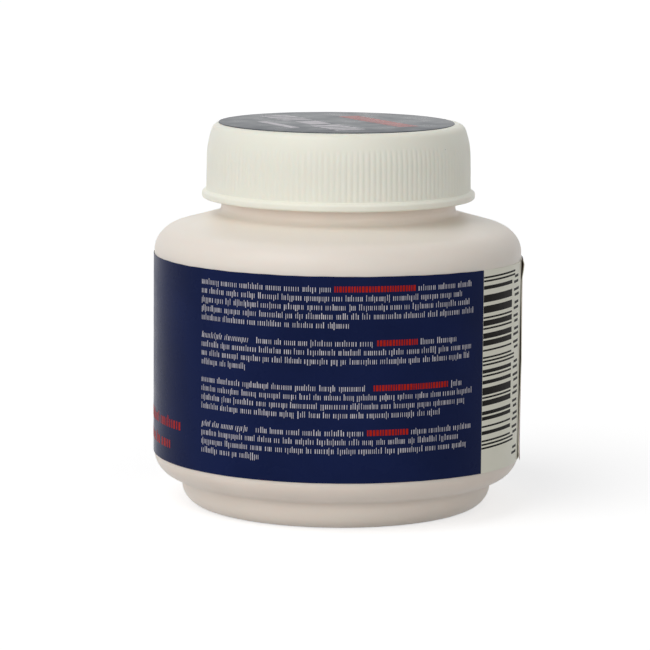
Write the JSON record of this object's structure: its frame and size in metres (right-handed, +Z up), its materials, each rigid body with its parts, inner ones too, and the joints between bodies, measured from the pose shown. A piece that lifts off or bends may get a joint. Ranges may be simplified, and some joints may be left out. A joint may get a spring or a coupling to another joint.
{
  "type": "nail polish remover dip jar",
  "caption": "Squat white plastic jar with a ribbed screw cap and navy wrap label; inside the neck a basket of soft brushes surrounds a well for a fingertip.",
  "frame": {"origin": "centre of the foot, on the standing plane", "axes": "+Z up along the jar's axis; -Y points out of the printed side that the picture shows, and +X to that side's right"},
  "size_m": [0.0651, 0.065, 0.0676],
  "materials": {
    "jar_plastic": "satin blow-moulded polyethylene, milky white with a faint pink tone",
    "cap_plastic": "satin ivory-white moulded polypropylene",
    "wrap_film": "glossy printed film, navy with a white side panel",
    "top_film": "glossy printed film, navy",
    "basket_plastic": "natural translucent moulded plastic",
    "bristles": "soft white nylon filaments",
    "foil": "dull aluminium foil",
    "liner_foam": "white foamed polyethylene"
  },
  "bodies": {
    "jar": {"jar_body": "jar_plastic", "body_label": "wrap_film", "dip_basket": "basket_plastic", "basket_base": "basket_plastic", "brush_strip_1": "bristles", "brush_strip_2": "bristles", "brush_strip_3": "bristles", "brush_strip_4": "bristles", "brush_strip_5": "bristles", "brush_strip_6": "bristles", "tip_brush": "bristles"},
    "seal": {"seal_foil": "foil"},
    "liner": {"liner_wad": "liner_foam"},
    "cap": {"cap_shell": "cap_plastic", "cap_label": "top_film"}
  },
  "joints": [
    {"name": "seal_lift", "type": "slide", "parent": "jar", "child": "seal", "axis": [0, 0, 1], "range_m": [0, 0.06]},
    {"name": "cap_rise", "type": "slide", "parent": "seal", "child": "liner", "axis": [0, 0, 1], "range_m": [0, 0.0053]},
    {"name": "cap_turn", "type": "hinge", "parent": "liner", "child": "cap", "pos_m": [0, 0, 0.06], "axis": [0, 0, 1], "range_deg": [0, 450]}
  ],
  "couplings": [
    {"joint": "cap_rise", "follows": "cap_turn", "m_per_rad": 0.00067376}
  ]
}
